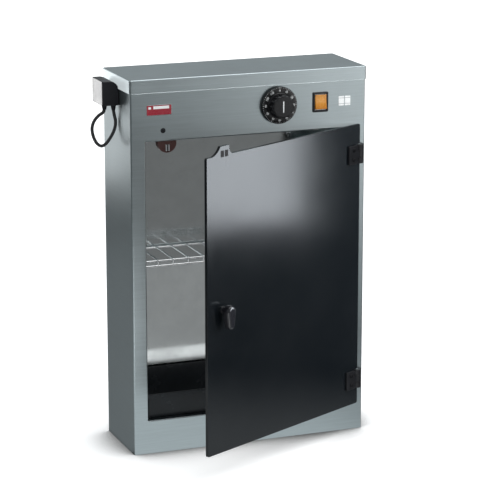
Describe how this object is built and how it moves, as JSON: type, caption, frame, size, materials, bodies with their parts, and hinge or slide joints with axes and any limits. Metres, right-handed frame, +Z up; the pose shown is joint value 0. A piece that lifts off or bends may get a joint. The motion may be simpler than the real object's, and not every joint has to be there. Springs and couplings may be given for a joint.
{
  "type": "uv sterilizer cabinet",
  "caption": "Upright stainless cabinet with a smoked acrylic door, lift-out wire rack and drip tray, UV lamp, timer dial and lit rocker switch, for sterilising salon tools.",
  "frame": {"origin": "centre of the casing's bottom face", "axes": "+Z up along the cabinet's height, -Y out of the front with the door, +X to the hinge side as seen from the front"},
  "size_m": [0.4426, 0.326, 0.61],
  "materials": {
    "steel_brushed": "satin brushed stainless sheet",
    "steel_inner": "bright annealed stainless sheet",
    "steel_screw": "bright machine screws",
    "screw_black": "blackened machine screws",
    "zinc": "zinc plated steel",
    "chromed_wire": "chromed wire",
    "black_plastic": "satin black moulding",
    "black_gloss": "polished black moulding",
    "black_enamel": "black enamelled tray",
    "smoked_acrylic": "polished smoked acrylic",
    "amber_lens": "lit amber lens",
    "white_print": "white inlay",
    "label_white": "printed film",
    "badge_red": "enamelled badge",
    "catch_brown": "dark brown moulding",
    "magnet_dark": "sintered magnet",
    "lamp_glass": "clear quartz tube",
    "lamp_cap": "pressed cap",
    "contact_brass": "contact pins",
    "socket_white": "thermoset moulding",
    "ballast_grey": "varnished lamination case",
    "terminal_cream": "polyamide block",
    "wire_sheath": "insulated leads",
    "cord_black": "round flexible cord"
  },
  "bodies": {
    "cabinet": {"casing": "steel_brushed", "lid": "steel_brushed", "back_panel": "steel_inner", "bottom_pan": "steel_inner", "partition": "steel_inner", "chamber_floor": "steel_inner", "rack_rail_left": "steel_inner", "rack_rail_right": "steel_inner", "lid_screws": "steel_screw", "back_screws": "steel_screw", "badge": "badge_red", "info_labels": "label_white", "door_sensor": "black_plastic", "catch_housing": "catch_brown", "catch_poles": "zinc", "catch_magnet": "magnet_dark", "uv_lamp_tube": "lamp_glass", "lamp_caps": "lamp_cap", "lamp_pins": "contact_brass", "lampholder_left": "socket_white", "lampholder_right": "socket_white", "starter": "socket_white", "starter_holder": "socket_white", "ballast": "ballast_grey", "terminal_block": "terminal_cream", "wiring": "wire_sheath", "timer_body": "terminal_cream", "timer_screws": "steel_screw", "switch_housing": "black_plastic", "power_box": "black_plastic", "power_box_screws": "screw_black", "cord_gland_front": "black_plastic", "cord_gland_rear": "black_plastic", "link_cord": "cord_black", "hinge_upper_frame": "black_plastic", "hinge_lower_frame": "black_plastic", "hinge_pins": "zinc", "hinge_fixings": "zinc"},
    "door": {"door_panel": "smoked_acrylic", "door_knob": "black_gloss", "knob_screw": "steel_screw", "strike_plate": "zinc", "door_magnets": "magnet_dark", "hinge_upper_leaf": "black_plastic", "hinge_lower_leaf": "black_plastic", "leaf_screws": "screw_black"},
    "timer_knob": {"timer_knob": "black_gloss", "timer_shaft": "zinc", "knob_pointer": "white_print"},
    "rocker": {"switch_rocker": "amber_lens"},
    "rack": {"wire_rack": "chromed_wire"},
    "tray": {"drip_tray": "black_enamel"}
  },
  "joints": [
    {"name": "door_hinge", "type": "hinge", "parent": "cabinet", "child": "door", "pos_m": [0.1858, -0.076, 0.28], "axis": [0, 0, 1], "range_deg": [-28, 92]},
    {"name": "timer_turn", "type": "hinge", "parent": "cabinet", "child": "timer_knob", "pos_m": [0.0485, -0.075, 0.556], "axis": [0, 1, 0], "range_deg": [0, 300]},
    {"name": "rocker_tilt", "type": "hinge", "parent": "cabinet", "child": "rocker", "pos_m": [0.1205, -0.0675, 0.556], "axis": [1, 0, 0], "range_deg": [0, 14]},
    {"name": "rack_lift", "type": "slide", "parent": "cabinet", "child": "rack", "axis": [0, 0, 1], "range_m": [0, 0.02]},
    {"name": "tray_lift", "type": "slide", "parent": "cabinet", "child": "tray", "axis": [0, 0, 1], "range_m": [0, 0.02]}
  ]
}
